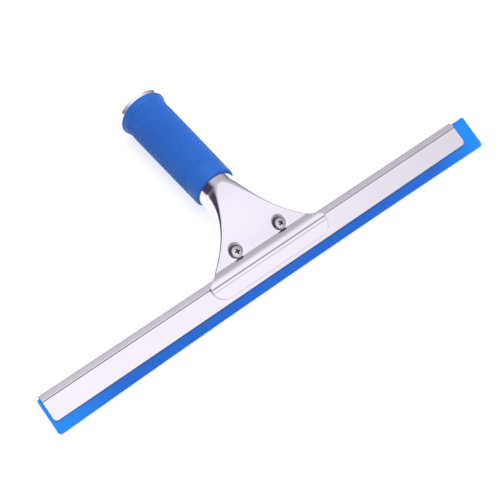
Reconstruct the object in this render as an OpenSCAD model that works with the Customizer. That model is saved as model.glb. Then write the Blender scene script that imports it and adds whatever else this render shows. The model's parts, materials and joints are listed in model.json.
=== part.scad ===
// Window squeegee: two stamped shells clamp a folded channel that holds a rubber blade.
// Design frame: X along the channel, Y from the rubber edge towards the handle,
// Z out of the front face, with Y = 0 at the back of the channel's spine.
// Every piece is then turned and lifted so that the tool lies on a level surface.

/* [Channel] */
// Length of the folded channel
channel_len = 350; // [220:5:450]
// Width of the channel from its spine to its lips
channel_w = 18.8; // [15:0.1:24]
// Outer radius of the rounded spine
spine_r = 3; // [2.6:0.1:3.6]
// Distance that the channel sits off centre in the jaws
channel_shift = -0.5; // [-20:0.5:20]
// Thickness of the channel's sheet
channel_t = 0.8; // [0.6:0.1:1]

/* [Rubber blade] */
// How much longer the blade is than the channel
blade_over = 14; // [0:1:30]
// Distance that the blade sits off centre in the channel
blade_shift = 5; // [-6:0.5:6]
// Thickness of the blade's flat web
blade_t = 2.2; // [1.8:0.1:2.6]
// How far the edge stands out of the lips at mid length
blade_reach = 6.9; // [5:0.1:10]
// How much further the edge stands out at the two ends
blade_bow = 1.4; // [0.4:0.1:2]
// Radius of the two outer corners
blade_corner_r = 2.2; // [0.5:0.1:3]

/* [Jaws and plates] */
// Width of the jaws along the channel
jaw_w = 97; // [84:1:130]
// Radius of the two front corners of the lips
lip_corner_r = 9; // [4:0.5:12]
// How far the lips stop short of the channel's own lips
lip_short = 2.6; // [1.5:0.1:5]
// Thickness of the stamped sheet
shell_t = 1.2; // [0.9:0.1:1.4]
// Distance from the spine's back to the valley behind the bead
valley_y = 2.4; // [2:0.1:4]
// Half the thickness over both sheets in the valley
valley_z = 2; // [1.7:0.1:2.4]
// Corner radius of the plates at the jaws
plate_corner_r = 1.8; // [1.5:0.1:1.9]

/* [Handle] */
// Angle between the handle's axis and the plane of the blade
bend_angle = 21.7; // [12:0.1:28]
// Distance from the spine's back to the bend, on the handle's axis
bend_y = 24.9; // [20:0.1:32]
// Distance along the handle's axis from the bend to the round neck
neck_s = 23; // [20:1:28]
// Outer radius of the tube that the two shells form
tube_r = 14; // [12:0.1:16]
// Length of the tube under the rubber sleeve
grip_len = 84; // [70:0.5:130]
// How far the bare tube shows between the neck and the sleeve
neck_show = 6; // [2:0.5:8]
// Thickness of the rubber sleeve at the neck
sleeve_t = 1.8; // [1.5:0.1:3]
// How much the sleeve thickens up to the trumpet
sleeve_grow = 0.8; // [0:0.1:1.2]
// Thickness of the rubber sleeve at its wide end
sleeve_end_t = 2.6; // [1.2:0.1:3]
// Length of the trumpet at the far end
flare_len = 15; // [8:1:18]
// How much the trumpet grows in radius
flare_rise = 3; // [1.5:0.1:4]
// How far the metal rim stands out of the sleeve
rim_len = 2.5; // [1:0.5:4]
// Gap at the seam between the two shells
seam_gap = 0.2; // [0.1:0.05:0.4]
// Height of the seam above the tube's axis at the neck
seam_rise = 7; // [3:0.5:8]

/* [Fasteners] */
// Distance between the two clamp screws
screw_pitch = 37; // [30:1:42]
// Distance of the screws behind the spine
screw_y = 6.4; // [6:0.1:9]
// Radius of the screw's shank
shank_r = 2; // [1.5:0.1:2.5]
// Radius of the pan head
head_r = 3.9; // [3.2:0.1:4.4]
// Height of the pan head
head_h = 2.4; // [1.8:0.1:3]
// Width across the nut's flats
nut_flats = 7; // [6:0.5:8]
// Thickness of the nut
nut_h = 3.2; // [2.4:0.1:4]
// How far the shank stands out of the nut
shank_over = 1.2; // [0.5:0.1:3]
// Width of each arm of the cross recess
cross_w = 1.1; // [0.8:0.1:1.4]
// Length of each pair of arms of the cross recess
cross_len = 4.4; // [3:0.1:5]
// Depth of the cross recess
cross_depth = 1.4; // [1:0.1:1.8]
// Turn of the left cross recess
cross_turn_left = -8; // [-45:1:45]
// Turn of the right cross recess
cross_turn_right = 28; // [-45:1:45]

/* [Clearances] */
// Gap between the channel and the jaws
jaw_gap = 0.25; // [0.15:0.05:0.4]
// Gap between the blade and the channel
blade_gap = 0.15; // [0.1:0.05:0.25]
// Radial clearance of the shanks in the shells
shank_gap = 0.25; // [0.15:0.05:0.5]
// Radial clearance of the shanks in the nuts
nut_gap = 0.05; // [0.02:0.01:0.08]
// Gap between the sleeve and the tube
sleeve_gap = 0.1; // [0.05:0.05:0.2]
// Room around a screw head in its round pocket
pocket_gap = 1.2; // [0.8:0.1:1.5]

/* [Hidden] */
curve_fn = 96;
small_fn = 48;
// Depth to which one stretch of a shell is let into the next, and its inset from the faces
root_len = 1.2;
root_inset = 0.3;
seat_inset = 0.2;

// Channel and jaw cross-section
spine_y = -spine_r;
lip_z = blade_t / 2 + blade_gap + channel_t;
jaw_z = lip_z + jaw_gap;
bead_r = spine_r + jaw_gap + shell_t;
lip_end_y = -channel_w + lip_short;
step_len = 3;
step_join_angle = 50;
bulb_r = spine_r - channel_t - blade_gap;
blade_len = channel_len + blade_over;

// Plates: half widths, heights and corner radii, from the valley (0) to the neck (1)
jaw_half = jaw_w / 2;
plan_jaw_y = -4;
plan_neck_y = 42;
plan_power = 1.9;
rise_power = 1.15;
corner_power = 4;
crown_flat = 0.15;
stations = 12;
corner_steps = 8;

// Handle, measured along its axis from the bend
sleeve_s0 = neck_s + neck_show;
sleeve_s1 = sleeve_s0 + grip_len;
rim_s = sleeve_s1 + rim_len;
flare_s0 = rim_s - flare_len;
flare_steps = 8;
flare_arc_r = (flare_len * flare_len + flare_rise * flare_rise) / (2 * flare_rise);
rim_r = tube_r + flare_rise;
seam_run = 25;

// Screws: seats, pockets and lengths, all square to the blade's plane
seat_z = valley_z;
pocket_r = head_r + pocket_gap;
shank_len = 2 * seat_z + nut_h + shank_over;
head_rise = 0.9;

// Resting pose: the blade's edge and the sleeve's wide end touch the surface
sleeve_end_r = tube_r + flare_at(sleeve_s1) + sleeve_gap + sleeve_end_t;
edge_y = -channel_w - blade_reach - blade_bow;
edge_z = -blade_t / 2;
foot_y = bend_y + sleeve_s1 * cos(bend_angle) - sleeve_end_r * sin(bend_angle);
foot_z = -sleeve_s1 * sin(bend_angle) - sleeve_end_r * cos(bend_angle);
lie_angle = atan2(edge_z - foot_z, foot_y - edge_y);
lift = -(foot_y * sin(lie_angle) + foot_z * cos(lie_angle));
x_low = channel_shift + min(-channel_len / 2, blade_shift - blade_len / 2);
x_high = channel_shift + max(channel_len / 2, blade_shift + blade_len / 2);
y_low = edge_y * cos(lie_angle) + edge_z * sin(lie_angle);
tip_angle = abs(bend_angle - lie_angle);
tip_y = bend_y + rim_s * cos(bend_angle);
tip_z = -rim_s * sin(bend_angle);
y_high = tip_y * cos(lie_angle) - tip_z * sin(lie_angle) + rim_r * sin(tip_angle);

// Growth of the trumpet's radius at a distance along the handle
function flare_at(s) =
    s <= flare_s0 ? 0 : flare_arc_r - sqrt(pow(flare_arc_r, 2) - pow(s - flare_s0, 2));

// Half width of the plates at a distance behind the spine
function plan_half(y) =
    let (u = min(1, max(0, (y - plan_jaw_y) / (plan_neck_y - plan_jaw_y))))
    tube_r + (jaw_half - tube_r) * pow(1 - u, plan_power);

// Centre line of the plates: a curve from the valley to the neck, round the bend
function mid_y(u) =
    (1 - u) * (1 - u) * valley_y + 2 * u * (1 - u) * bend_y
    + u * u * (bend_y + neck_s * cos(bend_angle));
function mid_z(u) = -u * u * neck_s * sin(bend_angle);
function mid_tilt(u) =
    atan2(u * neck_s * sin(bend_angle),
          (1 - u) * (bend_y - valley_y) + u * neck_s * cos(bend_angle));

// Half height and corner radius of the plates along that line
function half_height(u) = valley_z + (tube_r - valley_z) * pow(u, rise_power);
function corner_radius(u) =
    min(half_height(u), plate_corner_r + (tube_r - plate_corner_r) * pow(u, corner_power))
    - crown_flat;

// One side of a wall's section, from its low edge up a straight flank and a round corner.
// A low edge beyond the flank lies on the corner's arc, or on the arc below the flank.
function flank(half_w, height, radius, low) =
    let (corner = height - radius,
         first = low > corner ? asin((low - corner) / radius)
             : low < -corner ? asin((low + corner) / radius) : 0)
    concat(
        [[half_w - radius + radius * cos(first), low]],
        [for (k = [1:corner_steps])
            let (a = first + (90 - first) * k / corner_steps)
            [half_w - radius + radius * cos(a), sign(a) * corner + radius * sin(a)]]);

function mirrored(path) = [for (i = [len(path) - 1:-1:0]) [-path[i][0], path[i][1]]];
function crosswise(path) = [for (p = path) [-p[0], p[1]]];

// Closed section of a shell's wall: the outer line out and the inner line back
function wall_section(u, seam, inset) =
    let (half_w = plan_half(mid_y(u)) - inset,
         height = half_height(u) - inset,
         radius = corner_radius(u) - inset,
         wall = shell_t - 2 * inset,
         outer = flank(half_w, height, radius, seam + inset),
         inner = flank(half_w - wall, height - wall, radius - wall, seam + inset))
    concat(outer, mirrored(outer), crosswise(concat(inner, mirrored(inner))));

// The same section in the design frame, for the front (1) or the back (-1) shell
function placed_section(u, side, along, inset) =
    let (tilt = mid_tilt(u),
         path = wall_section(u, side * seam_rise * u * u + seam_gap / 2, inset))
    [for (p = path)
        [p[0],
         mid_y(u) + along * cos(tilt) + side * p[1] * sin(tilt),
         mid_z(u) - along * sin(tilt) + side * p[1] * cos(tilt)]];

module in_place() {
    translate([-(x_low + x_high) / 2, -(y_low + y_high) / 2, lift])
        rotate([lie_angle, 0, 0])
            children();
}

module on_handle() {
    translate([0, bend_y, 0])
        rotate([-90 - bend_angle, 0, 0])
            children();
}

module at_screws(side = 0) {
    for (s = side == 0 ? [-1, 1] : [side])
        translate([s * screw_pitch / 2, screw_y, 0])
            children();
}

// Wall of one shell from the valley to the round neck
module plate_wall(side) {
    sections = concat(
        [placed_section(0, side, -root_len, root_inset)],
        [for (i = [0:stations])
            placed_section(i / stations, side, 0, i % stations == 0 ? seat_inset : 0)],
        [placed_section(1, side, root_len, root_inset)]);
    rows = len(sections);
    count = len(sections[0]);
    side_quads = [for (i = [0:rows - 2]) for (k = [0:count - 1])
        let (n = (k + 1) % count)
        [i * count + k, i * count + n, (i + 1) * count + n, (i + 1) * count + k]];
    // An end is a band between the outer line and the inner line
    band = [for (k = [0:count / 2 - 2]) [k + 1, k, count - 1 - k, count - 2 - k]];
    last = (rows - 1) * count;
    end_quads = [for (q = band) [q[3] + last, q[2] + last, q[1] + last, q[0] + last]];
    quads = concat(side_quads, band, end_quads);
    triangles = [for (q = quads) for (t = [[q[0], q[1], q[2]], [q[0], q[2], q[3]]]) t];
    polyhedron(
        points = [for (s = sections) for (p = s) p],
        faces = side > 0 ? triangles : [for (t = triangles) [t[2], t[1], t[0]]]);
}

// Side outline of a plate's outer face above the middle plane
module plate_side() {
    points = [for (i = [0:stations])
        let (u = i / stations, tilt = mid_tilt(u))
        [mid_y(u) + half_height(u) * sin(tilt), mid_z(u) + half_height(u) * cos(tilt)]];
    polygon(concat([[-valley_y, 0], [-valley_y, valley_z]], points, [[points[stations][0], 0]]));
}

// Turns a (Y, Z) outline into a bar along X
module along_x(length) {
    rotate([90, 0, 90])
        linear_extrude(length, center = true)
            children();
}

// Cross-section of the front jaw: flat lip, step, bead over the spine, and valley
module jaw_section() {
    lip_top = jaw_z + shell_t;
    step_y = spine_y - sqrt(bead_r * bead_r - lip_top * lip_top);
    difference() {
        union() {
            intersection() {
                translate([spine_y, 0]) circle(bead_r, $fn = curve_fn);
                translate([spine_y - bead_r, valley_z - shell_t]) square([2 * bead_r, bead_r]);
            }
            translate([lip_end_y, jaw_z]) square([spine_y - lip_end_y, shell_t]);
            polygon([
                [step_y - step_len, lip_top],
                [step_y - step_len, lip_top - shell_t / 2],
                [step_y + shell_t, lip_top - shell_t / 2],
                [spine_y - bead_r * cos(step_join_angle), bead_r * sin(step_join_angle)]
            ]);
            translate([spine_y, valley_z - shell_t])
                square([valley_y + root_len - spine_y, shell_t]);
        }
        translate([spine_y, 0]) circle(bead_r - shell_t, $fn = curve_fn);
        translate([lip_end_y - 1, -1]) square([spine_y - lip_end_y + 1, jaw_z + 1]);
    }
}

// Plan outline of the jaws, with round front corners and flared sides
module jaw_plan() {
    side_steps = 4;
    y_top = valley_y + root_len;
    right = concat(
        [for (i = [0:side_steps])
            let (y = y_top + (plan_jaw_y - y_top) * i / side_steps)
            [plan_half(y), y]],
        [for (a = [0:-10:-90])
            [jaw_half - lip_corner_r + lip_corner_r * cos(a),
             lip_end_y + lip_corner_r + lip_corner_r * sin(a)]]);
    polygon(concat(right, mirrored(right)));
}

module jaw() {
    intersection() {
        along_x(jaw_w) jaw_section();
        linear_extrude(4 * bead_r, center = true) jaw_plan();
    }
}

// Half of the handle's tube with its share of the trumpet, in the handle's own frame
module half_tube(side) {
    flare = [for (i = [0:flare_steps])
        let (s = flare_s0 + flare_len * i / flare_steps)
        [tube_r + flare_at(s), s]];
    // The tube's wall starts with a wedge that is let into the plates' wall
    wedge = shell_t / 2;
    outer = concat([[tube_r, neck_s + wedge]], flare);
    inner = [for (i = [len(outer) - 1:-1:0]) [outer[i][0] - shell_t, outer[i][1]]];
    far = 2 * rim_r;
    line = [
        [-(seam_rise + side * seam_gap / 2), neck_s - 1],
        [-(seam_rise + side * seam_gap / 2), neck_s],
        [-side * seam_gap / 2, neck_s + seam_run],
        [-side * seam_gap / 2, rim_s + 1]
    ];
    intersection() {
        rotate_extrude($fn = curve_fn)
            polygon(concat([[tube_r - wedge, neck_s]], outer, inner));
        along_x(2 * far)
            polygon(concat(line, [[-side * far, rim_s + 1], [-side * far, neck_s - 1]]));
    }
}

// One stamped shell without its holes, as the front shell lies
module shell_body(side) {
    plate_wall(side);
    mirrored_to(side) {
        jaw();
        intersection() {
            at_screws() translate([0, 0, valley_z - shell_t])
                cylinder(r = pocket_r + shell_t, h = tube_r, $fn = small_fn);
            along_x(jaw_w) plate_side();
        }
    }
    on_handle() half_tube(side);
}

// Leaves the front as it is and mirrors the back through the plane of the blade
module mirrored_to(side) {
    mirror([0, 0, side > 0 ? 0 : 1]) children();
}

module front_shell() {
    color("gainsboro")
        in_place()
            difference() {
                shell_body(1);
                shell_cuts(1);
            }
}

module back_shell() {
    color("silver")
        in_place()
            difference() {
                shell_body(-1);
                shell_cuts(-1);
            }
}

// Pockets, shank holes and the room for the channel's spine
module shell_cuts(side) {
    mirrored_to(side)
        at_screws() {
            translate([0, 0, seat_z]) cylinder(r = pocket_r, h = tube_r, $fn = small_fn);
            cylinder(r = shank_r + shank_gap, h = tube_r, $fn = small_fn);
        }
    translate([0, spine_y, 0])
        rotate([0, 90, 0])
            cylinder(r = bead_r - shell_t, h = 2 * jaw_w, center = true, $fn = curve_fn);
}

module grip_sleeve() {
    flare = [for (i = [0:flare_steps])
        let (s = flare_s0 + (sleeve_s1 - flare_s0) * i / flare_steps)
        [tube_r + sleeve_gap + flare_at(s), s]];
    inner = concat([[tube_r + sleeve_gap, sleeve_s0]], flare);
    thickest = sleeve_t + sleeve_grow;
    outer = concat(
        [for (i = [flare_steps:-1:0])
            flare[i] + [thickest + (sleeve_end_t - thickest) * i / flare_steps, 0]],
        [inner[0] + [sleeve_t, 0]]);
    color("royalblue")
        in_place()
            on_handle()
                rotate_extrude($fn = curve_fn) polygon(concat(inner, outer));
}

module channel() {
    color("gainsboro")
        in_place()
            translate([channel_shift, 0, 0])
                along_x(channel_len)
                    difference() {
                        union() {
                            translate([spine_y, 0]) circle(spine_r, $fn = small_fn);
                            translate([-channel_w, -lip_z])
                                square([channel_w + spine_y, 2 * lip_z]);
                        }
                        translate([spine_y, 0]) circle(spine_r - channel_t, $fn = small_fn);
                        translate([-channel_w - 1, -lip_z + channel_t])
                            square([channel_w + spine_y + 1, 2 * (lip_z - channel_t)]);
                    }
}

// Plan outline of the blade: round corners and a slightly hollow edge
module blade_plan() {
    edge_steps = 24;
    round_y = edge_y + blade_corner_r;
    half = blade_len / 2 - blade_corner_r;
    edge = [for (i = [1:edge_steps - 1])
        let (k = 2 * i / edge_steps - 1)
        [k * half, edge_y + blade_bow * (1 - k * k)]];
    right = [for (a = [-90:15:0])
        [half + blade_corner_r * cos(a), round_y + blade_corner_r * sin(a)]];
    translate([channel_shift + blade_shift, 0])
        polygon(concat(
            edge, right,
            [[blade_len / 2, spine_r], [-blade_len / 2, spine_r]],
            mirrored(right)));
}

module rubber_blade() {
    color("dodgerblue")
        in_place()
            intersection() {
                along_x(2 * blade_len) {
                    translate([spine_y, 0]) circle(bulb_r, $fn = small_fn);
                    translate([edge_y - 1, -blade_t / 2]) square([spine_y - edge_y + 1, blade_t]);
                }
                linear_extrude(4 * spine_r, center = true) blade_plan();
            }
}

// Pan head with a domed top, a cross recess and a plain shank
module clamp_screw(turn) {
    dome_r = (head_r * head_r + head_rise * head_rise) / (2 * head_rise);
    difference() {
        union() {
            intersection() {
                cylinder(r = head_r, h = head_h, $fn = small_fn);
                translate([0, 0, head_h - dome_r]) sphere(dome_r, $fn = curve_fn);
            }
            translate([0, 0, -shank_len]) cylinder(r = shank_r, h = shank_len + 1, $fn = small_fn);
        }
        for (a = [0, 90])
            rotate([0, 0, turn + a])
                translate([-cross_len / 2, -cross_w / 2, head_h - cross_depth])
                    cube([cross_len, cross_w, 2 * cross_depth]);
    }
}

module screw_left() {
    color("lightsteelblue")
        in_place() at_screws(-1) translate([0, 0, seat_z]) clamp_screw(cross_turn_left);
}

module screw_right() {
    color("lightsteelblue")
        in_place() at_screws(1) translate([0, 0, seat_z]) clamp_screw(cross_turn_right);
}

// Hexagonal nut on the back seat
module clamp_nut() {
    translate([0, 0, -seat_z - nut_h])
        difference() {
            cylinder(r = nut_flats / 2 / cos(30), h = nut_h, $fn = 6);
            translate([0, 0, -1]) cylinder(r = shank_r + nut_gap, h = nut_h + 2, $fn = small_fn);
        }
}

module nut_left() {
    color("darkgray") in_place() at_screws(-1) clamp_nut();
}

module nut_right() {
    color("darkgray") in_place() at_screws(1) clamp_nut();
}

front_shell();
back_shell();
grip_sleeve();
channel();
rubber_blade();
screw_left();
screw_right();
nut_left();
nut_right();
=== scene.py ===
"""Window squeegee: the detailed visual model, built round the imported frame."""
import json
import math

import bmesh
import bpy
import numpy as np
from mathutils import Matrix, Vector


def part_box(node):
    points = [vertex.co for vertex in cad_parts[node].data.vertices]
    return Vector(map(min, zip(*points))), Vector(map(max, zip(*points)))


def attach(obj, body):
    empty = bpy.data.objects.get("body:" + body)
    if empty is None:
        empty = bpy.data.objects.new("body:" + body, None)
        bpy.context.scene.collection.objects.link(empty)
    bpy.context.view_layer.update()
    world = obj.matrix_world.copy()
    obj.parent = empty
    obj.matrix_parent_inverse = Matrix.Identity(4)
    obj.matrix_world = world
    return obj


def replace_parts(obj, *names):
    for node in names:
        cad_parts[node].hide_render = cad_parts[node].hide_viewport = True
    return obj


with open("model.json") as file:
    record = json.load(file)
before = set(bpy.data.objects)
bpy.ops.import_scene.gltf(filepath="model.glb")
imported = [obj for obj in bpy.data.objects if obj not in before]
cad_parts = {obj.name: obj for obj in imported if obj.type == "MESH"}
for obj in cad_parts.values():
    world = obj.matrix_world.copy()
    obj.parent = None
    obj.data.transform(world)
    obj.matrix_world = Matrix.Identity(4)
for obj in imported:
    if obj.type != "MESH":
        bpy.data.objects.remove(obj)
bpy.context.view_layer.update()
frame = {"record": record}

MM = 0.001

# ---------------------------------------------------------------- driving sizes, in millimetres
# Design frame: X along the channel, Y from the rubber towards the handle, Z out of the front.
# Y = 0 is the back of the channel's spine and Z = 0 the middle plane of the blade.
SCREW_Y = 6.4
SEAT_Z = 2.0
SHELL_T = 1.2
VALLEY_Y = 2.4
VALLEY_Z = 2.0
PLATE_CORNER_R = 1.8
JAW_HALF = 48.5
LIP_CORNER_R = 9.0
LIP_END_Y = -16.2
LIP_TOP = 3.5
BEND = math.radians(21.7)
BEND_Y = 24.9
NECK_S = 23.0
TUBE_R = 14.0
SLEEVE_S0 = 29.0
SLEEVE_S1 = 113.0
RIM_S = 115.5
FLARE_LEN = 15.0
FLARE_RISE = 4.5
FLARE_S0 = RIM_S - FLARE_LEN
SEAM_RISE = 7.0
SEAM_RUN = 25.0
SEAM_GAP = 0.2
PLAN_JAW_Y = -4.0
PLAN_NECK_Y = 42.0
PLAN_POWER = 1.9
RISE_POWER = 1.15
SPINE_R = 3.0
CHANNEL_W = 18.8
CHANNEL_T = 0.8
LIP_Z = 2.05
BLADE_T = 2.2
BLADE_REACH = 6.9
BLADE_BOW = 1.4
BULB_R = 1.35
HEAD_R = 3.9
HEAD_H = 2.4
SHANK_R = 2.0
NUT_FLATS = 7.0
NUT_H = 3.2
SHANK_OVER = 1.2
SLEEVE_GAP = 0.1
THREAD_PITCH = 0.7
CROSS_TURN_LEFT = math.radians(-8)
CROSS_TURN_RIGHT = math.radians(28)
FLOOR_HALF = 6.0
FLOOR_DROP = 0.0002

# ---------------------------------------------------------------- the design frame's place
joints = {j["name"]: j for j in frame["record"]["behaviour"]["joints"]}
seat_left = Vector(joints["screw_left_turn"]["pos_m"])
seat_right = Vector(joints["screw_right_turn"]["pos_m"])
front = Vector(joints["screw_left_turn"]["axis"]).normalized()
along = Vector((1, 0, 0))
handleward = front.cross(along)
origin = (seat_left + seat_right) / 2 - handleward * SCREW_Y * MM - front * SEAT_Z * MM
PLACE = Matrix((along, handleward, front)).transposed().to_4x4()
PLACE.translation = origin
SCREW_X = (seat_right - seat_left).length / 2 / MM


def placed(points):
    """Design-frame points in millimetres as world points in metres."""
    turn = np.array(PLACE.to_3x3())
    return np.asarray(points, float) * MM @ turn.T + np.array(PLACE.translation)


def x_span(node):
    """A node's two ends along X, in design-frame millimetres."""
    low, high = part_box(node)
    return (low[0] - origin.x) / MM, (high[0] - origin.x) / MM


# ---------------------------------------------------------------- mesh helpers
def new_piece(name, points, faces, body, nodes, material, sharp=35.0):
    """A mesh piece from design-frame points, on its body and in place of its CAD nodes."""
    mesh = bpy.data.meshes.new(name)
    mesh.from_pydata(placed(points).tolist(), [], [list(f) for f in faces])
    tidy = bmesh.new()
    tidy.from_mesh(mesh)
    bmesh.ops.remove_doubles(tidy, verts=tidy.verts, dist=0.004 * MM)
    bmesh.ops.dissolve_degenerate(tidy, edges=tidy.edges, dist=0.002 * MM)
    bmesh.ops.recalc_face_normals(tidy, faces=tidy.faces)
    tidy.to_mesh(mesh)
    tidy.free()
    mesh.shade_smooth()
    mesh.set_sharp_from_angle(angle=math.radians(sharp))
    piece = bpy.data.objects.new(name, mesh)
    bpy.context.scene.collection.objects.link(piece)
    mesh.materials.append(material)
    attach(piece, body)
    if nodes:
        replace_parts(piece, *nodes)
    return piece


def grid_faces(rows, cols, wrap=False, start=0):
    """Quads between neighbouring rows and columns of a grid of points."""
    last = cols if wrap else cols - 1
    return [
        (start + i * cols + k, start + i * cols + (k + 1) % cols,
         start + (i + 1) * cols + (k + 1) % cols, start + (i + 1) * cols + k)
        for i in range(rows - 1) for k in range(last)
    ]


def bevel(piece, width, segments=2, angle=40.0):
    """Rounds the piece's sharp edges by a width in millimetres."""
    mod = piece.modifiers.new("edges", "BEVEL")
    mod.width = width * MM
    mod.segments = segments
    mod.limit_method = "ANGLE"
    mod.angle_limit = math.radians(angle)
    mod.harden_normals = True
    return mod


def applied(piece, cutters=()):
    """Bakes the piece's modifiers into its mesh and removes the cutters."""
    view = bpy.context.evaluated_depsgraph_get()
    mesh = bpy.data.meshes.new_from_object(piece.evaluated_get(view))
    piece.modifiers.clear()
    piece.data = mesh
    for c in cutters:
        bpy.data.objects.remove(c)
    return piece


def smooth_step(x):
    """0 below x = 0, 1 above x = 1, and a smooth rise between them."""
    x = np.clip(x, 0.0, 1.0)
    return x * x * (3 - 2 * x)


# ---------------------------------------------------------------- outlines shared by the shells
def flare_at(s):
    """Growth of the tube's radius towards its far end."""
    arc_r = (FLARE_LEN ** 2 + FLARE_RISE ** 2) / (2 * FLARE_RISE)
    d = np.maximum(0.0, s - FLARE_S0)
    return arc_r - np.sqrt(arc_r ** 2 - d ** 2)


def plan_half(y):
    """Half the width of the handle's plate at Y, from the jaws to the neck."""
    u = np.clip((y - PLAN_JAW_Y) / (PLAN_NECK_Y - PLAN_JAW_Y), 0.0, 1.0)
    return TUBE_R + (JAW_HALF - TUBE_R) * (1 - u) ** PLAN_POWER


PROFILE_STEP = 0.05
PROFILE_ROUND = 0.16
CREASE_REACH = 0.8


def jaw_profile():
    """Height of the jaw's outer face over Y: lip, two steps, bead over the spine, valley."""
    knots = [
        (LIP_END_Y, LIP_TOP), (-8.5, LIP_TOP), (-8.0, 3.8), (-6.4, 3.83), (-5.3, 4.45),
        (-3.9, 4.5), (-2.9, 4.46), (-1.9, 4.26), (-0.9, 3.9), (0.1, 3.4), (1.1, 2.78),
        (VALLEY_Y - 0.15, VALLEY_Z), (VALLEY_Y, VALLEY_Z),
    ]
    y = np.arange(LIP_END_Y - 2, VALLEY_Y + 2, PROFILE_STEP)
    z = np.interp(y, [k[0] for k in knots], [k[1] for k in knots])
    kernel = np.exp(-0.5 * (np.arange(-20, 21) * PROFILE_STEP / PROFILE_ROUND) ** 2)
    round_z = np.convolve(z, kernel / kernel.sum(), mode="same")
    # The crease at the valley stays sharper than the rest
    near_crease = smooth_step((VALLEY_Y - y) / CREASE_REACH)
    return y, z + (round_z - z) * near_crease


def shell_rows(side):
    """Stations of a shell from the lip to the rim, each with its centre line and its section."""
    rows = []
    y_dense, z_dense = jaw_profile()
    # Jaw: the lip's round corners by angle, then even steps along the profile
    corner_y = LIP_END_Y + LIP_CORNER_R
    arc = [corner_y - LIP_CORNER_R * math.sin(a) for a in np.linspace(math.pi / 2, 0, 20)]
    keep = (y_dense >= -9.4) & (y_dense <= VALLEY_Y)
    run = np.concatenate([[0], np.cumsum(np.hypot(np.diff(y_dense[keep]), np.diff(z_dense[keep])))])
    even = np.interp(np.arange(0, run[-1], 0.28), run, y_dense[keep])
    ys = sorted(set(np.round([y for y in arc if y < -9.5], 4)) | set(np.round(even[:-1], 4)))
    for y in ys:
        if y < corner_y:
            drop = corner_y - y
            half = JAW_HALF - LIP_CORNER_R + math.sqrt(max(0.0, LIP_CORNER_R ** 2 - drop ** 2))
        else:
            half = float(plan_half(y))
        height = float(np.interp(y, y_dense, z_dense))
        blend = float(smooth_step((y + 2.0) / (VALLEY_Y + 2.0)))
        radius = 0.35 + (PLATE_CORNER_R - 0.5) * blend
        low = (height - SHELL_T) * (1 - blend) + SEAM_GAP / 2 * blend
        rows.append((y, 0.0, 0.0, half, height, radius, max(low, SEAM_GAP / 2)))
    # Plates: the bent centre line from the valley to the neck
    neck_y = BEND_Y + NECK_S * math.cos(BEND)
    for u in np.linspace(0, 1, 112):
        y = (1 - u) ** 2 * VALLEY_Y + 2 * u * (1 - u) * BEND_Y + u * u * neck_y
        z = -u * u * NECK_S * math.sin(BEND)
        tilt = math.atan2(u * NECK_S * math.sin(BEND),
                          (1 - u) * (BEND_Y - VALLEY_Y) + u * NECK_S * math.cos(BEND))
        height = VALLEY_Z + (TUBE_R - VALLEY_Z) * u ** RISE_POWER
        radius = min(height, PLATE_CORNER_R + (TUBE_R - PLATE_CORNER_R) * u ** 4)
        low = side * SEAM_RISE * u * u + SEAM_GAP / 2
        rows.append((y, z, tilt, float(plan_half(y)), height, radius, low))
    # Tube: along the handle's axis from the neck to the rim
    plain = np.linspace(NECK_S + 0.5, FLARE_S0, 40)
    for s in list(plain) + list(np.linspace(FLARE_S0 + 0.5, RIM_S, 22)):
        y = BEND_Y + s * math.cos(BEND)
        z = -s * math.sin(BEND)
        r = TUBE_R + float(flare_at(s))
        low = side * SEAM_RISE * max(0.0, 1 - (s - NECK_S) / SEAM_RUN) + SEAM_GAP / 2
        rows.append((y, z, BEND, r, r, r, low))
    return rows


def half_section(half, height, radius, low, count):
    """Points (x, n) from the crown to the low edge, closer together in the corner."""
    corner = height - radius
    if low > corner:
        end = math.asin(min(1.0, (low - corner) / radius))
    elif low < -corner:
        end = math.asin(max(-1.0, (low + corner) / radius))
    else:
        end = 0.0
    top = half - radius
    path = [(0.0, height), (top, height)]
    weight = [1.0]
    for a in np.linspace(math.pi / 2, end, 41)[1:]:
        lift = corner if a >= 0 else -corner
        path.append((top + radius * math.cos(a), lift + radius * math.sin(a)))
        weight.append(1.0 + 2.0 * (1 - radius / TUBE_R))
    if low < path[-1][1] - 1e-6:
        path.append((half, low))
        weight.append(1.0)
    path = np.array(path)
    step = np.hypot(*np.diff(path, axis=0).T) * np.array(weight)
    run = np.concatenate([[0], np.cumsum(step)])
    at = np.linspace(0, run[-1], count)
    return np.interp(at, run, path[:, 0]), np.interp(at, run, path[:, 1])


# Columns of the grid from the crown to an edge, and the pockets for the screw heads and nuts
HALF_COLS = 116
POCKET_R = 4.2
POCKET_SLOPE = 0.64
POCKET_REACH = 15.0
POCKET_ROUND = 0.5
SHELL_EDGE = 0.22


def shell_points(side):
    """Grid of the shell's outer face: one row for each station, from edge to edge."""
    out = []
    for y, z, tilt, half, height, radius, low in shell_rows(side):
        x, n = half_section(half, height, radius, low, HALF_COLS)
        x = np.concatenate([-x[::-1], x[1:]])
        n = np.concatenate([n[::-1], n[1:]])
        py = y + side * n * math.sin(tilt)
        pz = z + side * n * math.cos(tilt)
        # Round pockets pressed in for the screw heads and nuts
        reach = np.min([np.hypot(x - sx, py - SCREW_Y) for sx in (-SCREW_X, SCREW_X)], axis=0)
        wall = SEAT_Z - POCKET_ROUND / 2 + POCKET_SLOPE * np.maximum(0.0, reach - POCKET_R)
        over = np.clip(np.abs(pz) - wall, 0.0, None)
        press = np.where(over < POCKET_ROUND, over ** 2 / (2 * POCKET_ROUND),
                         over - POCKET_ROUND / 2)
        press *= smooth_step((py - 1.2) / 1.2) * (n > 0.8 * VALLEY_Z) * (reach < POCKET_REACH)
        pz = pz - side * press
        out.append(np.stack([x, py, pz], axis=1))
    return np.array(out)


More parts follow.
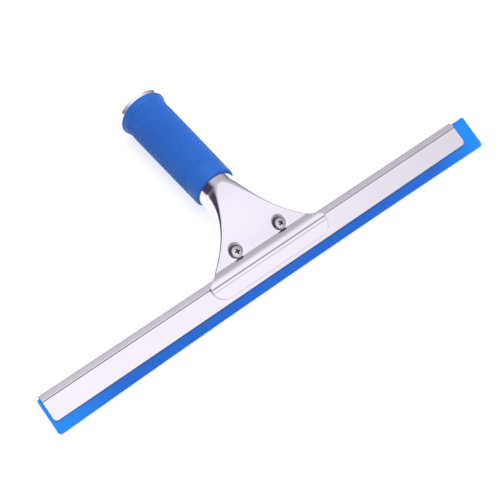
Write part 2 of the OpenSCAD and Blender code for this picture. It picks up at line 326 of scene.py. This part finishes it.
def make_shell(name, side, material, edge_shade):
    """One stamped half of the handle, front (side 1) or back (side -1), with its cut edges painted dark
    as shade lines.
    """
    grid = shell_points(side)
    rows, cols = grid.shape[:2]
    piece = new_piece(
        name, grid.reshape(-1, 3), grid_faces(rows, cols), "handle", [name], material)
    # Outward is up for the front shell and down for the back shell
    mesh = piece.data
    centre = np.array([p.center for p in mesh.polygons])
    normal = np.array([p.normal for p in mesh.polygons])
    lean = np.array(front) * side
    near_jaw = centre[:, 1] < np.median(centre[:, 1])
    if (normal[near_jaw] @ lean).mean() < 0:
        mesh.flip_normals()
    sheet = piece.modifiers.new("sheet", "SOLIDIFY")
    sheet.thickness = SHELL_T * MM
    sheet.offset = -1
    sheet.use_even_offset = True
    sheet.use_quality_normals = True
    # The sheet's rim faces take the dark edge material: painted shade for the seam line and the lip's
    # dark outline, partly the duller cut steel
    piece.data.materials.append(edge_shade)
    sheet.material_offset_rim = 1
    bevel(piece, SHELL_EDGE, 2, 50.0)
    return piece


# ---------------------------------------------------------------- grip sleeve
RIBS = 52
RIB_DEPTH = 0.36
SLEEVE_T = 1.8
SLEEVE_GROW = 0.8
SLEEVE_END_T = 1.35
COLLAR = 4.5
BAND = 6.5
COLS_PER_RIB = 8
NECK_EDGE_R = 1.3
FAR_EDGE_R = 0.9


def make_sleeve(material):
    """Turned rubber sleeve with fine ribs between a smooth band and a smooth collar."""
    cols = RIBS * COLS_PER_RIB
    ang = np.linspace(0, 2 * math.pi, cols, endpoint=False)
    rib = 0.5 - 0.5 * np.cos(ang * RIBS)
    groove = np.clip(1.0 - rib * 1.9, 0.0, 1.0) ** 1.2
    s_rib0 = SLEEVE_S0 + BAND
    s_rib1 = SLEEVE_S1 - COLLAR
    ss = np.concatenate([
        np.linspace(SLEEVE_S0 + 1.5, s_rib0 - 1, 8),
        np.linspace(s_rib0 - 0.8, s_rib0 + 6, 16),
        np.linspace(s_rib0 + 8, FLARE_S0, 26),
        np.linspace(FLARE_S0 + 0.5, s_rib1 - 1.4, 12),
        np.linspace(s_rib1 - 1.2, s_rib1 + 0.4, 9),
        np.linspace(s_rib1 + 0.8, SLEEVE_S1 - 1.0, 6),
    ])
    rings = []

    def ring(s, r):
        y = BEND_Y + s * math.cos(BEND)
        z = -s * math.sin(BEND)
        n = r * np.cos(ang)
        rings.append(np.stack(
            [r * np.sin(ang), y + n * math.sin(BEND), z + n * math.cos(BEND)], axis=1))

    def outer_r(s):
        thick = np.interp(s, (SLEEVE_S0, FLARE_S0, SLEEVE_S1),
                          (SLEEVE_T, SLEEVE_T + SLEEVE_GROW, SLEEVE_END_T))
        return TUBE_R + SLEEVE_GAP + float(flare_at(s)) + float(thick)

    def inner_r(s):
        return TUBE_R + SLEEVE_GAP + float(flare_at(s))

    # Near end: a round edge from the bore to the outside
    edge_r = NECK_EDGE_R
    ring(SLEEVE_S0, np.full(cols, inner_r(SLEEVE_S0)))
    for a in np.linspace(0, math.pi / 2, 8):
        ring(SLEEVE_S0 + edge_r - edge_r * math.cos(a),
             np.full(cols, outer_r(SLEEVE_S0) - edge_r + edge_r * math.sin(a)))
    for s in ss:
        fade = float(smooth_step((s - s_rib0) / 7.0) * smooth_step((s_rib1 - s) / 0.9))
        notch = math.exp(-((s - (s_rib1 - 0.9)) / 0.7) ** 2)
        depth = RIB_DEPTH * fade * (1.0 + 0.9 * notch)
        ring(s, outer_r(s) - depth * groove)
    # Far end: the same, then back through the bore
    edge_r = FAR_EDGE_R
    for a in np.linspace(math.pi / 2, 0, 6)[1:]:
        ring(SLEEVE_S1 - edge_r + edge_r * math.cos(a),
             np.full(cols, outer_r(SLEEVE_S1) - edge_r + edge_r * math.sin(a)))
    for s in list(np.linspace(SLEEVE_S1, FLARE_S0, 10)) + [SLEEVE_S0]:
        ring(s, np.full(cols, inner_r(s)))
    grid = np.array(rings)
    return new_piece("grip_sleeve_ribbed", grid.reshape(-1, 3), grid_faces(len(rings), cols, True),
                     "handle", ["grip_sleeve"], material, 40.0)


# ---------------------------------------------------------------- channel
CHANNEL_CORNER = 2.6
RIDGE_RISE = 0.63
RIDGE_Y = -4.2
SPINE_SLOPE = 0.36
LIP_NEAR_Y = -6.5


def channel_line():
    """The strip's outer face, from the front lip over a ridge, round the spine to the back lip."""
    flat = [(y, LIP_Z) for y in np.linspace(-CHANNEL_W, -5.15, 9)]
    ridge = [(-4.85, LIP_Z + 0.08), (-4.62, LIP_Z + 0.42), (-4.42, LIP_Z + 0.6),
             (RIDGE_Y, LIP_Z + RIDGE_RISE)]
    slope = [(y, LIP_Z + RIDGE_RISE - SPINE_SLOPE * (y - RIDGE_Y)) for y in np.linspace(-3.8, -1.1, 6)]
    nose_z = slope[-1][1] - 0.12
    nose = [(-0.9 + 0.9 * math.cos(a), nose_z * math.sin(a)) for a in np.linspace(math.pi / 2, 0, 10)]
    upper = np.array(flat + ridge + slope + nose)
    lower = upper[::-1][1:] * np.array([1, -1])
    return np.concatenate([upper, lower])


def sheet_loop(line, thickness):
    """Outer and inner face of a sheet along a line, and the round edges at its two ends."""
    step = np.gradient(line, axis=0)
    normal = np.stack([-step[:, 1], step[:, 0]], axis=1)
    normal /= np.linalg.norm(normal, axis=1)[:, None]
    if normal[0, 1] < 0:
        normal = -normal
    inner = line - normal * thickness
    loops = []
    for edge, back in ((line[0], inner[0]), (line[-1], inner[-1])):
        middle = (edge + back) / 2
        loops.append([middle + (edge - middle) * math.cos(a)
                      + np.array([-1.0, 0.0]) * thickness / 2 * math.sin(a)
                      for a in np.linspace(0, math.pi, 7)[1:-1]])
    return line, inner, loops


def make_channel(material, edge_shade):
    """Folded strip with round lip corners; its cut edges, lip edges and ridge wall are painted dark as
    shade lines.
    """
    x0, x1 = x_span("channel")
    line, inner, caps = sheet_loop(channel_line(), CHANNEL_T)
    loop = np.concatenate([line, np.array(caps[1]), inner[::-1], np.array(caps[0])[::-1]])
    count = len(line)
    lip_y = loop[:, 0].min()
    ends = [CHANNEL_CORNER * (1 - math.cos(a)) for a in np.linspace(0, math.pi / 2, 9)]
    xs = [x0 + e for e in ends] + list(np.linspace(x0 + 8, x1 - 8, 24)) + [x1 - e for e in ends[::-1]]
    rows = []
    for x in xs:
        d = min(x - x0, x1 - x)
        short = 0.0
        if d < CHANNEL_CORNER:
            short = CHANNEL_CORNER - math.sqrt(CHANNEL_CORNER ** 2 - (CHANNEL_CORNER - d) ** 2)
        y = loop[:, 0].copy()
        k = np.clip((LIP_NEAR_Y - y) / (LIP_NEAR_Y - lip_y), 0.0, 1.0)
        y += short * k
        rows.append(np.stack([np.full(len(loop), x), y, loop[:, 1]], axis=1))
    grid = np.array(rows)
    cols = len(loop)
    faces = grid_faces(len(rows), cols, True)
    # Cut ends: a band between the outer and inner faces, and the round edges at the lips
    cap = len(caps[0])
    for base in (0, (len(rows) - 1) * cols):
        first = [base + k for k in range(count)]
        second = [base + count + cap + (count - 1 - k) for k in range(count)]
        faces += [(first[k], first[k + 1], second[k + 1], second[k]) for k in range(count - 1)]
        faces.append([base + count - 1 + k for k in range(cap + 2)])
        tail = [base + 2 * count + cap + k for k in range(cap)]
        faces.append([base + 2 * count + cap - 1] + tail + [base])
    piece = new_piece("channel_folded", grid.reshape(-1, 3), faces, "channel", ["channel"],
                      material, 50.0)
    piece.data.materials.append(edge_shade)
    # Faces turned towards the rubber (the lips' edges and the ridge's steep wall) and the cut ends take
    # the dark edge material: painted shade for the dark lines along the lip and the crease, partly the
    # duller cut steel
    for face in piece.data.polygons:
        if face.normal.dot(handleward) < -0.5 or abs(face.normal.x) > 0.8:
            face.material_index = 1
    bevel(piece, 0.12, 2, 60.0)
    return piece


# ---------------------------------------------------------------- blade
BLADE_CORNER = 2.2
TOP_CORNER = 1.3
BLADE_EDGE_R = 0.2


def make_blade(material):
    """Rubber strip: bulb in the spine, flat web, and a free edge that bows a little."""
    x0, x1 = x_span("rubber_blade")
    middle = (x0 + x1) / 2
    span = (x1 - x0) / 2
    ends = [BLADE_CORNER * (1 - math.cos(a)) for a in np.linspace(0, math.pi / 2, 12)]
    xs = [x0 + e for e in ends] + list(np.linspace(x0 + 6, x1 - 6, 60)) + [x1 - e for e in ends[::-1]]
    spine_y = -SPINE_R
    half = BLADE_T / 2
    meet = math.asin(half / BULB_R)
    edge_r = BLADE_EDGE_R
    rows = []
    for x in xs:
        k = (x - middle) / span
        edge_y = -CHANNEL_W - BLADE_REACH - BLADE_BOW * min(1.0, k * k)
        d = min(x - x0, x1 - x)
        if d < BLADE_CORNER:
            edge_y += BLADE_CORNER - math.sqrt(BLADE_CORNER ** 2 - (BLADE_CORNER - d) ** 2)
        squeeze = 0.0
        if d < TOP_CORNER:
            squeeze = TOP_CORNER - math.sqrt(TOP_CORNER ** 2 - (TOP_CORNER - d) ** 2)
        ring = []
        for a in np.linspace(math.pi - meet, -(math.pi - meet), 25):
            y = spine_y + BULB_R * math.cos(a)
            ring.append((min(y, spine_y + BULB_R - squeeze), BULB_R * math.sin(a)))
        neck = ring[-1][0]
        web = [neck + (edge_y + edge_r - neck) * t for t in (0.15, 0.4, 0.62, 0.72, 0.86, 1.0)]
        ring += [(y, -half) for y in web]
        for a in np.linspace(0, math.pi / 2, 4)[1:]:
            ring.append((edge_y + edge_r - edge_r * math.sin(a), -half + edge_r - edge_r * math.cos(a)))
        for a in np.linspace(math.pi / 2, 0, 4):
            ring.append((edge_y + edge_r - edge_r * math.sin(a), half - edge_r + edge_r * math.cos(a)))
        ring += [(y, half) for y in web[::-1][1:]]
        rows.append([(x, y, z) for y, z in ring])
    grid = np.array(rows)
    cols = grid.shape[1]
    faces = grid_faces(len(rows), cols, True)
    faces.append(list(range(cols)))
    faces.append([(len(rows) - 1) * cols + k for k in range(cols)])
    piece = new_piece("rubber_blade_bowed", grid.reshape(-1, 3), faces, "blade", ["rubber_blade"],
                      material, 40.0)
    bevel(piece, 0.15, 2, 50.0)
    return piece


# ---------------------------------------------------------------- fasteners
def turned(profile, steps=72):
    """Points and faces of a profile (r, z) turned round the Z axis; it starts and ends on it."""
    ang = np.linspace(0, 2 * math.pi, steps, endpoint=False)
    points, faces = [], []
    for r, z in profile:
        points += [(r * math.cos(a), r * math.sin(a), z) for a in ang]
    for i in range(len(profile) - 1):
        for k in range(steps):
            n = (k + 1) % steps
            faces.append((i * steps + k, i * steps + n, (i + 1) * steps + n, (i + 1) * steps + k))
    return points, faces


def cutter_object(name, points, faces):
    """A closed body for a Boolean, which the caller removes."""
    mesh = bpy.data.meshes.new(name)
    mesh.from_pydata(placed(points).tolist(), [], faces)
    tidy = bmesh.new()
    tidy.from_mesh(mesh)
    bmesh.ops.remove_doubles(tidy, verts=tidy.verts, dist=0.002 * MM)
    bmesh.ops.recalc_face_normals(tidy, faces=tidy.faces)
    tidy.to_mesh(mesh)
    tidy.free()
    cutter = bpy.data.objects.new(name, mesh)
    bpy.context.scene.collection.objects.link(cutter)
    return cutter


def wedge_arm(length, deep_length, width, deep_width, top, depth, turn, at):
    """One bar of the cross recess: a box that narrows downwards."""
    c, s = math.cos(turn), math.sin(turn)
    pts = []
    for l, w, z in ((deep_length, deep_width, top - depth), (length, width, top + 0.6)):
        for u, v in ((-1, -1), (1, -1), (1, 1), (-1, 1)):
            px, py = u * l / 2, v * w / 2
            pts.append((at[0] + c * px - s * py, at[1] + s * px + c * py, at[2] + z))
    faces = [(0, 3, 2, 1), (4, 5, 6, 7), (0, 1, 5, 4), (1, 2, 6, 5), (2, 3, 7, 6), (3, 0, 4, 7)]
    return pts, faces


HEAD_DOME = 0.9
HEAD_SHOULDER_R = 0.45
CROSS_LEN = 4.9
CROSS_DEEP_LEN = 1.8
CROSS_W = 1.4
CROSS_DEEP_W = 0.8
CROSS_DEPTH = 1.5
CROSS_REACH = 2.6


def make_screw(name, side, turn, body, material, recess):
    """Pan head with a cross recess; the shank has rings of thread below the back seat."""
    at = (side * SCREW_X, SCREW_Y, SEAT_Z)
    dome_r = (HEAD_R ** 2 + HEAD_DOME ** 2) / (2 * HEAD_DOME)
    profile = [(0.0, HEAD_H)]
    for r in np.linspace(0.3, HEAD_R - HEAD_SHOULDER_R, 12):
        profile.append((r, HEAD_H - dome_r + math.sqrt(dome_r ** 2 - r ** 2)))
    shoulder = profile[-1][1]
    for a in np.linspace(math.radians(60), 0, 6):
        profile.append((HEAD_R - HEAD_SHOULDER_R + HEAD_SHOULDER_R * math.cos(a),
                        shoulder - 0.4 + HEAD_SHOULDER_R * math.sin(a)))
    profile += [(HEAD_R, 0.15), (HEAD_R - 0.15, 0.0), (SHANK_R, 0.0)]
    length = 2 * SEAT_Z + NUT_H + SHANK_OVER
    z = -2 * SEAT_Z
    profile.append((SHANK_R, z))
    while z > -length + THREAD_PITCH * 1.2:
        profile += [(SHANK_R - 0.32, z - THREAD_PITCH * 0.45),
                    (SHANK_R - 0.02, z - THREAD_PITCH * 0.95)]
        z -= THREAD_PITCH
    profile += [(SHANK_R - 0.1, -length + 0.3), (SHANK_R - 0.5, -length), (0.0, -length)]
    pts, faces = turned(profile)
    pts = [(p[0] + at[0], p[1] + at[1], p[2] + at[2]) for p in pts]
    piece = new_piece(name, pts, faces, body, [], material, 45.0)
    cutters = []
    for k in range(2):
        arm = wedge_arm(CROSS_LEN, CROSS_DEEP_LEN, CROSS_W, CROSS_DEEP_W, HEAD_H, CROSS_DEPTH,
                        turn + k * math.pi / 2, at)
        cutters.append(cutter_object("%s_cut%d" % (name, k), *arm))
        cut = piece.modifiers.new("cut", "BOOLEAN")
        cut.operation = "DIFFERENCE"
        cut.solver = "EXACT"
        cut.object = cutters[-1]
    applied(piece, cutters)
    # The recess's walls and floor and the head's rounded side are darker: painted shade in the recess
    # and painted shade for the dark ring round the head, with the plating's dull grey in the recess
    piece.data.materials.append(recess)
    centre = PLACE @ (Vector(at) * MM)
    for face in piece.data.polygons:
        offset = Vector(face.center) - centre
        high = offset.dot(front) / MM
        wide = (offset - front * offset.dot(front)).length / MM
        level = abs(face.normal.dot(front))
        in_recess = wide < CROSS_REACH and high < HEAD_H - 0.05 and (level < 0.9 or high < HEAD_H - 1.0)
        # The head's rounded side is painted dark as the shade ring round the head
        on_side = HEAD_R - 0.2 < wide and level < 0.6
        if high > 0.1 and (in_recess or on_side):
            face.material_index = 1
    piece.data.set_sharp_from_angle(angle=math.radians(35))
    bevel(piece, 0.09, 2, 35.0)
    return piece


NUT_RIM = 0.35


def make_nut(name, side, body, material):
    """Six-sided nut with turned chamfers and a round bore."""
    at = (side * SCREW_X, SCREW_Y, -SEAT_Z)
    far = NUT_FLATS / 2 / math.cos(math.pi / 6)
    six = [math.radians(60 * k) for k in range(6)]
    pts = [(far * math.cos(a), far * math.sin(a), z) for z in (-NUT_H, 0.0) for a in six]
    faces = [tuple(range(6))[::-1], tuple(range(6, 12))]
    faces += [(k, (k + 1) % 6, 6 + (k + 1) % 6, 6 + k) for k in range(6)]
    pts = [(p[0] + at[0], p[1] + at[1], p[2] + at[2]) for p in pts]
    piece = new_piece(name, pts, faces, body, [], material, 25.0)
    keep = [(0, -NUT_H - 0.01), (NUT_FLATS / 2 - 0.1, -NUT_H - 0.01), (far + 0.3, -NUT_H + NUT_RIM),
            (far + 0.3, -NUT_RIM), (NUT_FLATS / 2 - 0.1, 0.01), (0, 0.01)]
    bore = [(0, -NUT_H - 1), (SHANK_R + 0.5, -NUT_H - 0.1), (SHANK_R + 0.05, -NUT_H + 0.4),
            (SHANK_R + 0.05, -0.4), (SHANK_R + 0.5, 0.1), (0, 1)]
    cutters = []
    for label, profile, operation in (("keep", keep, "INTERSECT"), ("bore", bore, "DIFFERENCE")):
        p, f = turned(profile, 60)
        p = [(v[0] + at[0], v[1] + at[1], v[2] + at[2]) for v in p]
        cutters.append(cutter_object("%s_%s" % (name, label), p, f))
        cut = piece.modifiers.new(label, "BOOLEAN")
        cut.operation = operation
        cut.solver = "EXACT"
        cut.object = cutters[-1]
    applied(piece, cutters)
    piece.data.set_sharp_from_angle(angle=math.radians(25))
    bevel(piece, 0.06, 1, 40.0)
    return piece


# ---------------------------------------------------------------- materials
def new_material(name, base, metallic, roughness):
    """A plain shader with its node tree, for the material functions to build on."""
    mat = bpy.data.materials.new(name)
    mat.use_nodes = True
    tree = mat.node_tree
    shader = tree.nodes["Principled BSDF"]
    shader.inputs["Base Color"].default_value = (*base, 1)
    shader.inputs["Metallic"].default_value = metallic
    shader.inputs["Roughness"].default_value = roughness
    return mat, tree, shader


def add(tree, kind, **values):
    """A new node whose inputs or settings have the given values."""
    node = tree.nodes.new(kind)
    for key, value in values.items():
        if key in node.inputs:
            node.inputs[key].default_value = value
        else:
            setattr(node, key, value)
    return node


def noise(tree, scale, stretch=(1, 1, 1), detail=4.0, rough=0.5):
    """Noise in object space, stretched along an axis by small scales."""
    place = add(tree, "ShaderNodeTexCoord")
    size = add(tree, "ShaderNodeMapping")
    size.inputs["Scale"].default_value = stretch
    out = add(tree, "ShaderNodeTexNoise", Scale=scale, Detail=detail, Roughness=rough)
    tree.links.new(place.outputs["Object"], size.inputs["Vector"])
    tree.links.new(size.outputs["Vector"], out.inputs["Vector"])
    return out.outputs["Fac"]


def ranged(tree, value, low, high, start=0.3, end=0.7):
    """The value's range from start to end, mapped to low to high."""
    out = add(tree, "ShaderNodeMapRange")
    out.inputs["From Min"].default_value = start
    out.inputs["From Max"].default_value = end
    out.inputs["To Min"].default_value = low
    out.inputs["To Max"].default_value = high
    tree.links.new(value, out.inputs["Value"])
    return out.outputs["Result"]


def mixed(tree, fac, a, b):
    """A colour between a and b."""
    out = add(tree, "ShaderNodeMix", data_type="RGBA")
    out.inputs["A"].default_value = (*a, 1)
    out.inputs["B"].default_value = (*b, 1)
    tree.links.new(fac, out.inputs["Factor"])
    return out.outputs["Result"]


def bumped(tree, shader, heights):
    """Stacks bump nodes: (height, strength, distance in millimetres) from coarse to fine."""
    previous = None
    for height, strength, distance in heights:
        bump = add(tree, "ShaderNodeBump", Strength=strength, Distance=distance * MM)
        tree.links.new(height, bump.inputs["Height"])
        if previous:
            tree.links.new(previous, bump.inputs["Normal"])
        previous = bump.outputs["Normal"]
    tree.links.new(previous, shader.inputs["Normal"])


def steel(name, base, dark, rough_low, rough_high, grain):
    """Polished stainless sheet: faint drawing lines along grain, small clouding and bumps."""
    mat, tree, shader = new_material(name, base, 1.0, rough_low)
    cloud = noise(tree, 60.0, detail=3.0)
    lines = noise(tree, 900.0, grain, detail=3.0, rough=0.6)
    tree.links.new(mixed(tree, ranged(tree, cloud, 0.0, 1.0), base, dark), shader.inputs["Base Color"])
    tree.links.new(ranged(tree, lines, rough_low, rough_high), shader.inputs["Roughness"])
    bumped(tree, shader, [(cloud, 0.05, 0.05), (lines, 0.05, 0.008)])
    return mat


# Where the blade's painted light towards its ends starts and where it is full, along X
PAINTED_LIGHT_FROM_X = 0.135
PAINTED_LIGHT_TO_X = 0.187


def rubber(name, base, dark, rough_low, rough_high, painted_light_end_colour=None):
    """Blue rubber with a fine grain; a lighter end colour fades in towards both ends along X, painted
    light for the blade's ends.
    """
    mat, tree, shader = new_material(name, base, 0.0, rough_low)
    cloud = noise(tree, 35.0, detail=3.0)
    grain = noise(tree, 2600.0, detail=4.0, rough=0.65)
    colour = mixed(tree, ranged(tree, cloud, 0.0, 1.0), base, dark)
    if painted_light_end_colour:
        place = add(tree, "ShaderNodeTexCoord")
        parts = add(tree, "ShaderNodeSeparateXYZ")
        tree.links.new(place.outputs["Object"], parts.inputs["Vector"])
        away = add(tree, "ShaderNodeMath", operation="ABSOLUTE")
        tree.links.new(parts.outputs["X"], away.inputs[0])
        blend = add(tree, "ShaderNodeMix", data_type="RGBA")
        blend.inputs["B"].default_value = (*painted_light_end_colour, 1)
        tree.links.new(ranged(tree, away.outputs["Value"], 0.0, 1.0, PAINTED_LIGHT_FROM_X, PAINTED_LIGHT_TO_X),
                       blend.inputs["Factor"])
        tree.links.new(colour, blend.inputs["A"])
        colour = blend.outputs["Result"]
    tree.links.new(colour, shader.inputs["Base Color"])
    tree.links.new(ranged(tree, grain, rough_low, rough_high), shader.inputs["Roughness"])
    bumped(tree, shader, [(cloud, 0.04, 0.1), (grain, 0.25, 0.03)])
    shader.inputs["Specular IOR Level"].default_value = 0.25
    return mat


shell_steel = steel("shell_steel", (0.94, 0.90, 0.975), (0.91, 0.87, 0.95), 0.1, 0.16, (1, 0.08, 1))
channel_steel = steel("channel_steel", (0.93, 0.89, 0.965), (0.90, 0.865, 0.94), 0.16, 0.24,
                      (0.03, 1, 1))
# Dark edge steel: painted shade for the dark lines along the cut edges, lip and seam, partly the duller
# cut steel
edge_shade_steel = steel("edge_steel_painted_shade", (0.16, 0.155, 0.18), (0.13, 0.125, 0.15), 0.35, 0.5, (1, 1, 1))
zinc = steel("fastener_steel", (0.76, 0.75, 0.77), (0.62, 0.61, 0.63), 0.2, 0.34, (1, 1, 1))
# Dark fastener steel: painted shade in the cross recesses and round the screw heads
zinc_painted_shade = steel("fastener_steel_painted_shade", (0.16, 0.155, 0.17), (0.12, 0.115, 0.13), 0.4, 0.55,
                    (1, 1, 1))
grip_rubber = rubber("grip_rubber", (0.028, 0.152, 0.60), (0.024, 0.137, 0.555), 0.42, 0.58)
# Blade: painted lighter towards both ends as painted light
blade_rubber = rubber("blade_rubber", (0.012, 0.138, 0.62), (0.01, 0.128, 0.59), 0.38, 0.5,
                      (0.012, 0.29, 0.98))

# ---------------------------------------------------------------- the pieces
make_shell("front_shell", 1, shell_steel, edge_shade_steel)
make_shell("back_shell", -1, shell_steel, edge_shade_steel)
make_sleeve(grip_rubber)
make_channel(channel_steel, edge_shade_steel)
make_blade(blade_rubber)
for hand, side, turn in (("left", -1, CROSS_TURN_LEFT), ("right", 1, CROSS_TURN_RIGHT)):
    screw = "screw_" + hand
    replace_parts(make_screw(screw + "_cross", side, turn, screw, zinc, zinc_painted_shade), screw)
for hand, side in (("left", -1), ("right", 1)):
    nut = "nut_" + hand
    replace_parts(make_nut(nut + "_six", side, nut, zinc), nut)

# ---------------------------------------------------------------- floor, light and camera
floor_mesh = bpy.data.meshes.new("floor")
corners = [(x * FLOOR_HALF, y * FLOOR_HALF, 0) for x, y in ((-1, -1), (1, -1), (1, 1), (-1, 1))]
floor_mesh.from_pydata(corners, [], [(0, 1, 2, 3)])
floor = bpy.data.objects.new("floor", floor_mesh)
floor.location.z = -FLOOR_DROP
bpy.context.scene.collection.objects.link(floor)
floor_material, _, floor_shader = new_material("floor", (0.42, 0.42, 0.42), 0.0, 0.9)
floor_shader.inputs["Emission Color"].default_value = (1, 1, 1, 1)
floor_shader.inputs["Emission Strength"].default_value = 0.72
floor_mesh.materials.append(floor_material)

world = bpy.data.worlds.new("studio")
world.use_nodes = True
bpy.context.scene.world = world
sky = world.node_tree
backdrop = sky.nodes["Background"]
direction = add(sky, "ShaderNodeTexCoord")


def facing(way, low, high, start, end):
    """How far a direction of the sky faces a given way, mapped to a value."""
    dot = add(sky, "ShaderNodeVectorMath", operation="DOT_PRODUCT")
    sky.links.new(direction.outputs["Generated"], dot.inputs[0])
    dot.inputs[1].default_value = way
    return ranged(sky, dot.outputs["Value"], low, high, start, end)


SOFT_BOX = (0.0, -0.35, 0.937)
UPWARDS = (0.0, 0.0, 1.0)
DARK_CARD = (-0.80, 0.28, 0.53)
GREY_STOPS = ((0.2, 0.4), (0.46, 0.48), (0.71, 0.53), (0.82, 0.68), (0.93, 0.98))

# The soft box hangs above and on the side of the blade; the far side of the room is grey
ramp = add(sky, "ShaderNodeValToRGB")
stops = ramp.color_ramp.elements
stops[0].position, stops[0].color = 0.0, (0.28, 0.27, 0.31, 1)
stops[1].position, stops[1].color = 1.0, (1.03, 1.02, 1.04, 1)
for position, grey in GREY_STOPS:
    stop = stops.new(position)
    stop.color = (grey, grey * 0.985, grey * 1.03, 1)
sky.links.new(facing(SOFT_BOX, 0.0, 1.0, -0.3, 1.0), ramp.inputs["Fac"])
# Near the horizon the room is darker
dim = add(sky, "ShaderNodeMix", data_type="RGBA")
dim.blend_type = "MULTIPLY"
dim.inputs["Factor"].default_value = 1.0
sky.links.new(ramp.outputs["Color"], dim.inputs["A"])
sky.links.new(facing(UPWARDS, 0.5, 1.0, 0.12, 0.5), dim.inputs["B"])
# A dark card stands on the left
card = add(sky, "ShaderNodeMix", data_type="RGBA")
card.inputs["B"].default_value = (0.055, 0.05, 0.085, 1)
sky.links.new(facing(DARK_CARD, 0.0, 1.0, 0.78, 0.92), card.inputs["Factor"])
sky.links.new(dim.outputs["Result"], card.inputs["A"])
sky.links.new(card.outputs["Result"], backdrop.inputs["Color"])
backdrop.inputs["Strength"].default_value = 1.0


def area_light(name, place, target, size, watts):
    """A round lamp that lights the scene but isn't mirrored in the metal."""
    light = bpy.data.lights.new(name, "AREA")
    light.shape = "DISK"
    light.size = size
    light.energy = watts
    lamp = bpy.data.objects.new(name, light)
    lamp.location = place
    lamp.rotation_euler = (Vector(target) - Vector(place)).to_track_quat("-Z", "Y").to_euler()
    lamp.visible_glossy = False
    bpy.context.scene.collection.objects.link(lamp)


area_light("overhead", (0.1, 0.2, 1.6), (0, 0, 0), 1.6, 16.0)

# Camera: placed and aimed in the design frame, then rolled about its own axis
CAMERA_AT = (-244.7, -42.2, 613.4)
CAMERA_AIM = (-9.13, 2.99, 0.0)
CAMERA_ROLL = -35.03
CAMERA_LENS = 71.6
eye, aim = (PLACE @ (Vector(p) * MM) for p in (CAMERA_AT, CAMERA_AIM))
backward = (eye - aim).normalized()
level = handleward.cross(backward).normalized()
upright = backward.cross(level)
roll = math.radians(CAMERA_ROLL)
right = level * math.cos(roll) + upright * math.sin(roll)
up = backward.cross(right)
camera_data = bpy.data.cameras.new("camera")
camera_data.lens = CAMERA_LENS
camera_data.sensor_width = 36.0
camera_data.clip_start = 0.01
camera = bpy.data.objects.new("camera", camera_data)
camera.matrix_world = Matrix.Translation(eye) @ Matrix((right, up, backward)).transposed().to_4x4()
bpy.context.scene.collection.objects.link(camera)
bpy.context.scene.camera = camera
bpy.context.scene.view_settings.view_transform = "Standard"
